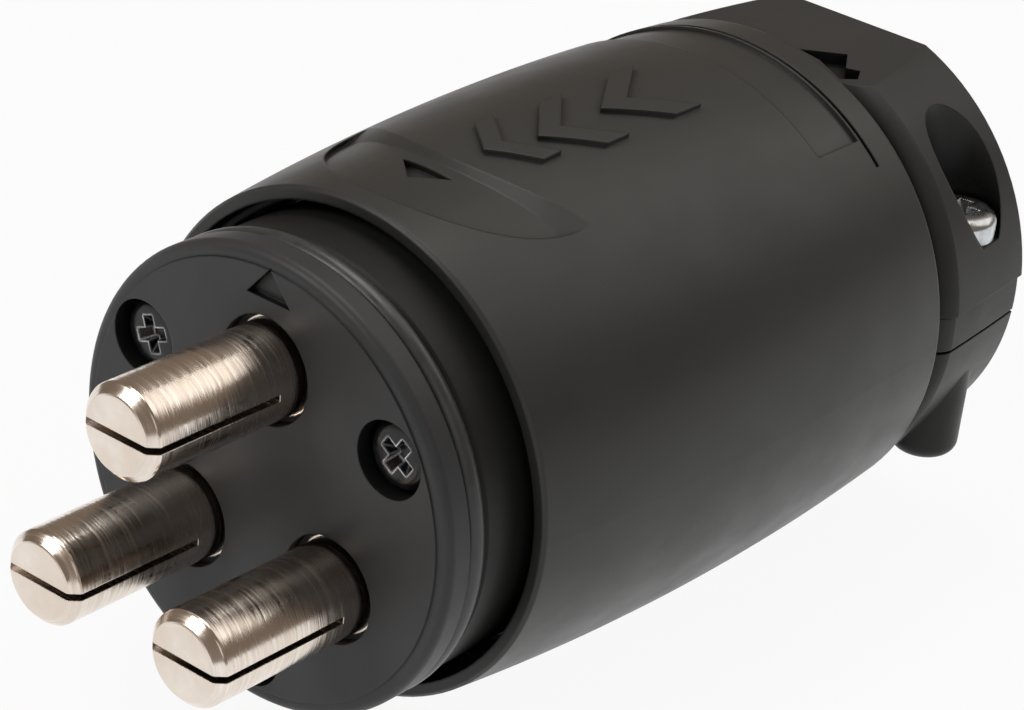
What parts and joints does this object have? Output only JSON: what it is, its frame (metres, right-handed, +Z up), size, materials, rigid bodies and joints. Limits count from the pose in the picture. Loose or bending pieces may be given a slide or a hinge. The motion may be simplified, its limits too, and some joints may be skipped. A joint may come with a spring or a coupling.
{
  "type": "locking power plug",
  "caption": "Round power plug with split pins in a flat face, a barrel-shaped twist-locking sleeve and a screwed cable clamp at the rear.",
  "frame": {"origin": "centre of the mating face, on the plug's axis", "axes": "+Y along the plug's axis towards the cable end, +Z up through the flat on the rear body, +X to the right of somebody looking at the face"},
  "size_m": [0.0466, 0.0922, 0.047],
  "materials": {
    "sleeve_plastic": "satin",
    "body_plastic": "satin",
    "face_plastic": "satin",
    "pin_metal": "nickel plated, fine turned",
    "terminal_brass": "turned",
    "insulator_plastic": "matte",
    "seal_rubber": "smooth",
    "black_screw": "black oxide, glossy",
    "ring_steel": "satin",
    "grommet_plastic": "matte",
    "zinc_screw": "zinc plated"
  },
  "bodies": {
    "plug_body": {"core_body": "body_plastic", "contact_carrier": "face_plastic", "contact_pin_top": "pin_metal", "contact_pin_left": "pin_metal", "contact_pin_right": "pin_metal", "terminal_screw_top": "terminal_brass", "terminal_screw_left": "terminal_brass", "terminal_screw_right": "terminal_brass", "rear_insulator": "insulator_plastic", "face_seal": "seal_rubber", "face_screw_left": "black_screw", "face_screw_right": "black_screw", "face_screw_bottom": "black_screw", "retaining_ring": "ring_steel", "cable_grommet": "grommet_plastic", "clamp_jaw": "body_plastic", "clamp_screw_left": "zinc_screw", "clamp_screw_right": "zinc_screw", "clamp_insert_left": "terminal_brass", "clamp_insert_right": "terminal_brass"},
    "sleeve": {"locking_sleeve": "sleeve_plastic"}
  },
  "joints": [
    {"name": "sleeve_turn", "type": "hinge", "parent": "plug_body", "child": "sleeve", "pos_m": [0, 0.035, 0], "axis": [0, -1, 0], "range_deg": [0, 45]}
  ]
}
